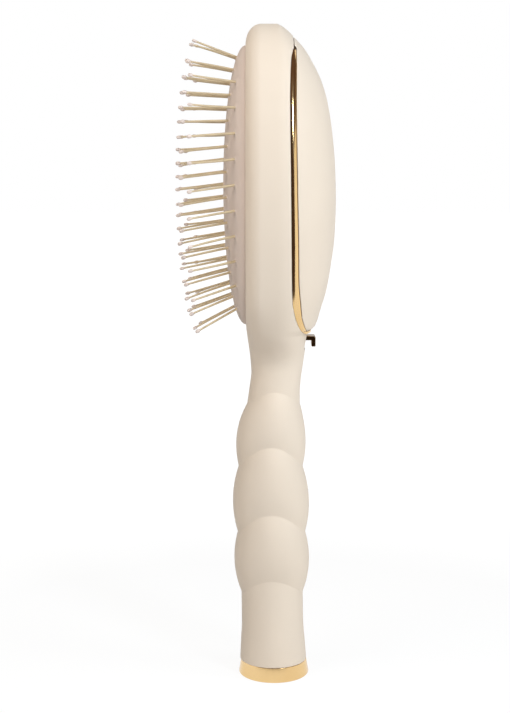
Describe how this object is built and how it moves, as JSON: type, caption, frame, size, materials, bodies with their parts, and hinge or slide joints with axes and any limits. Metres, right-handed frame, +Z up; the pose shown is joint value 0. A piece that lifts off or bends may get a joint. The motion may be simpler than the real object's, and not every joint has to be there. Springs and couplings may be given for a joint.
{
  "type": "detangling brush",
  "caption": "Paddle-shaped detangling brush with a cushioned bed of ball-tipped pins, a lobed handle and a hinged rear cover with a sliding latch.",
  "frame": {"origin": "centre of the end cap's flat foot, on the surface that the brush stands on", "axes": "+Z up the handle to the crown, -Y the way the pins point, +Y the side of the rear cover, X across the head"},
  "size_m": [0.062, 0.058, 0.24],
  "materials": {
    "shell": "soft-touch matt",
    "plated": "polished plating",
    "rubber": "matt",
    "nylon": "satin",
    "steel": "bright",
    "carrier": "matt"
  },
  "bodies": {
    "frame": {"body": "shell", "end_cap": "plated", "trim_band": "plated", "hinge_pin": "steel"},
    "cover": {"rear_cover": "shell"},
    "latch": {"latch_tab": "plated", "latch_slider": "carrier", "latch_catch": "steel", "latch_spring": "steel"},
    "pin_bed": {"cushion": "rubber", "pin_row_01": "nylon", "pin_row_02": "nylon", "pin_row_03": "nylon", "pin_row_04": "nylon", "pin_row_05": "nylon", "pin_row_06": "nylon", "pin_row_07": "nylon", "pin_row_08": "nylon", "pin_row_09": "nylon", "pin_row_10": "nylon", "pin_row_11": "nylon", "pin_row_12": "nylon", "pin_row_13": "nylon", "pin_row_14": "nylon", "pin_row_15": "nylon", "pin_row_16": "nylon", "pin_row_17": "nylon", "pin_row_18": "nylon", "pin_row_19": "nylon", "pin_row_20": "nylon", "pin_row_21": "nylon"}
  },
  "joints": [
    {"name": "cover_hinge", "type": "hinge", "parent": "frame", "child": "cover", "pos_m": [0, 0.0073, 0.2306], "axis": [1, 0, 0], "range_deg": [0, 90], "deforming": ["latch_catch"]},
    {"name": "latch_slide", "type": "slide", "parent": "frame", "child": "latch", "axis": [0, 0, -1], "range_m": [0, 0.003], "stiffness_N_per_m": 400, "springref_m": -0.001, "deforming": ["latch_spring", "latch_catch"]},
    {"name": "pin_bed_press", "type": "slide", "parent": "frame", "child": "pin_bed", "axis": [0, 1, 0], "range_m": [0, 0.002], "stiffness_N_per_m": 1500, "deforming": ["cushion"]}
  ]
}
